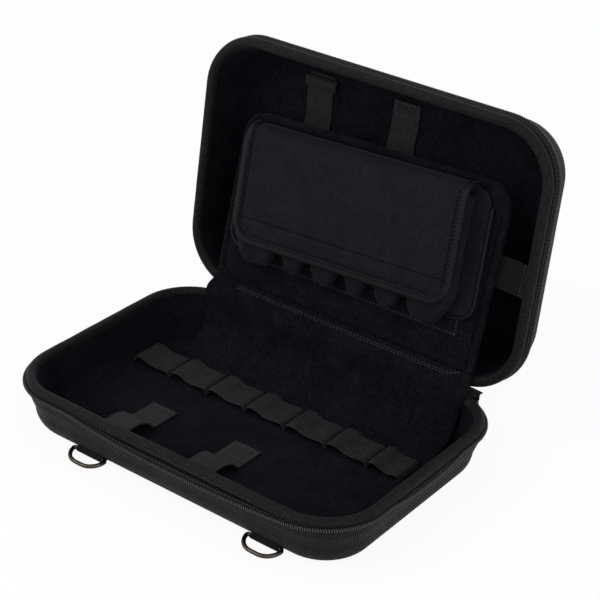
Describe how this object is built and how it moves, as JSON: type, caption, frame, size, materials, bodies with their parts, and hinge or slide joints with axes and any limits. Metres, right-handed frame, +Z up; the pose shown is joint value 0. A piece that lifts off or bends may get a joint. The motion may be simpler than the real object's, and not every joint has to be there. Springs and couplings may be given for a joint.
{
  "type": "harmonica case",
  "caption": "Zip-around moulded carrying case standing open, with elastic loops and hold-down straps in the base and a padded organiser panel with a flapped pocket pouch in the lid.",
  "frame": {"origin": "centre of the flat underside of the base", "axes": "+X to the right along the hinge as seen from the front, +Y towards the hinge at the back, +Z up"},
  "size_m": [0.3252, 0.2904, 0.2573],
  "materials": {
    "laminated_shell": "matte",
    "hinge_cloth": "matte",
    "rim_binding": "matte",
    "brushed_velour": "matte",
    "zip_tape": "matte",
    "zip_coil": "satin",
    "woven_webbing": "matte",
    "woven_elastic": "matte",
    "stretch_laminate": "matte",
    "edging_tape": "matte",
    "hook_tape": "matte",
    "dark_plated_steel": "satin"
  },
  "bodies": {
    "base": {"base_shell": "laminated_shell", "base_lining": "brushed_velour", "base_rim": "rim_binding", "base_zip_tape": "zip_tape", "base_zip_coil": "zip_coil", "outer_hinge": "hinge_cloth", "hinge_panel": "brushed_velour", "harmonica_loop_1": "woven_elastic", "harmonica_loop_2": "woven_elastic", "harmonica_loop_3": "woven_elastic", "harmonica_loop_4": "woven_elastic", "harmonica_loop_5": "woven_elastic", "harmonica_loop_6": "woven_elastic", "harmonica_loop_7": "woven_elastic", "hold_down_strap_left": "woven_webbing", "hold_down_strap_right": "woven_webbing", "d_ring_tab_left": "woven_webbing", "d_ring_tab_right": "woven_webbing"},
    "lid": {"lid_shell": "laminated_shell", "lid_lining": "brushed_velour", "lid_rim": "rim_binding", "lid_zip_tape": "zip_tape", "lid_zip_coil": "zip_coil", "panel_strap_left": "woven_webbing", "panel_strap_right": "woven_webbing", "strap_keeper": "woven_webbing", "organiser_panel": "brushed_velour", "pouch_hook_patch": "hook_tape", "side_strap": "woven_webbing"},
    "pouch": {"pouch_pocket_1": "stretch_laminate", "pouch_pocket_2": "stretch_laminate", "pouch_pocket_3": "stretch_laminate", "pouch_pocket_4": "stretch_laminate", "pouch_pocket_5": "stretch_laminate", "pouch_pocket_6": "stretch_laminate", "pouch_loop_tape": "hook_tape", "pouch_back": "stretch_laminate", "pouch_binding": "edging_tape"},
    "flap": {"pouch_flap": "stretch_laminate", "flap_binding": "edging_tape", "flap_hook_tape": "hook_tape"},
    "slider_right": {"zip_slider_right": "dark_plated_steel"},
    "slider_left": {"zip_slider_left": "dark_plated_steel"},
    "puller_right": {"zip_puller_right": "dark_plated_steel"},
    "puller_left": {"zip_puller_left": "dark_plated_steel"},
    "ring_left": {"d_ring_left": "dark_plated_steel"},
    "ring_right": {"d_ring_right": "dark_plated_steel"}
  },
  "joints": [
    {"name": "lid_hinge", "type": "hinge", "parent": "base", "child": "lid", "pos_m": [0, 0.1075, 0.0455], "axis": [-1, 0, 0], "range_deg": [-97.6, 77.4], "deforming": ["outer_hinge", "hinge_panel"]},
    {"name": "pouch_release", "type": "slide", "parent": "lid", "child": "pouch", "axis": [0, -0.9661, 0.2582], "range_m": [0, 0.06]},
    {"name": "flap_fold", "type": "hinge", "parent": "pouch", "child": "flap", "pos_m": [-0.00373, 0.13828, 0.19421], "axis": [-0.9989, -0.0119, -0.0447], "range_deg": [0, 90]},
    {"name": "slider_right_run", "type": "hinge", "parent": "base", "child": "slider_right", "pos_m": [0.113, 0.0595, 0.03865], "axis": [0, 0, 1], "range_deg": [-66, 0]},
    {"name": "slider_left_run", "type": "hinge", "parent": "base", "child": "slider_left", "pos_m": [-0.113, 0.0595, 0.03865], "axis": [0, 0, -1], "range_deg": [-66, 0]},
    {"name": "puller_right_swing", "type": "hinge", "parent": "slider_right", "child": "puller_right", "pos_m": [0.12907, 0.10896, 0.03865], "axis": [-0.9511, 0.309, 0], "range_deg": [-95, 0]},
    {"name": "puller_left_swing", "type": "hinge", "parent": "slider_left", "child": "puller_left", "pos_m": [-0.12907, 0.10896, 0.03865], "axis": [-0.9511, -0.309, 0], "range_deg": [-95, 0]},
    {"name": "ring_left_swing", "type": "hinge", "parent": "base", "child": "ring_left", "pos_m": [-0.077, -0.0963, 0.0032], "axis": [-1, 0, 0], "range_deg": [-75, 50]},
    {"name": "ring_right_swing", "type": "hinge", "parent": "base", "child": "ring_right", "pos_m": [0.09, -0.0963, 0.0032], "axis": [-1, 0, 0], "range_deg": [-75, 50]}
  ]
}
